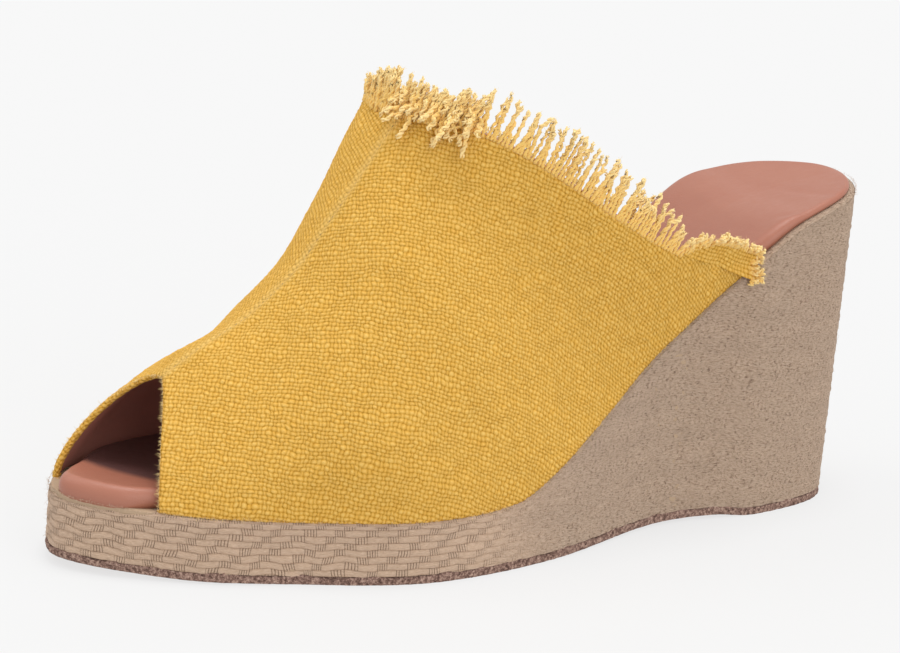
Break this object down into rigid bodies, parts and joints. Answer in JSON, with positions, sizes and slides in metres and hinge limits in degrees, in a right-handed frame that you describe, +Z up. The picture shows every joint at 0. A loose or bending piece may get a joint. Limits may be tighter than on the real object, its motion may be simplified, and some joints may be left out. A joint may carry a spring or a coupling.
{
  "type": "espadrille wedge sandal",
  "caption": "Left-foot espadrille wedge mule: canvas upper with peep toe, open back and frayed collar on a jute-wrapped wedge.",
  "frame": {"origin": "on the ground, under the middle of the sole's outline", "axes": "+Z up from the ground, -Y towards the toes, +X towards the little toe's side of this left shoe"},
  "size_m": [0.0875, 0.2319, 0.125],
  "materials": {
    "rubber": "matte, crumbly brown-grey sheet rubber",
    "jute": "natural braided jute, matte and hairy",
    "leather": "smooth terracotta leather, satin",
    "canvas": "coarse plain-weave canvas, mustard yellow, matte",
    "yarn": "frayed canvas yarn, mustard yellow, matte"
  },
  "bodies": {
    "root": {"outsole": "rubber", "wedge": "jute", "insole": "leather", "upper": "canvas", "collar_fringe": "yarn"}
  },
  "joints": []
}
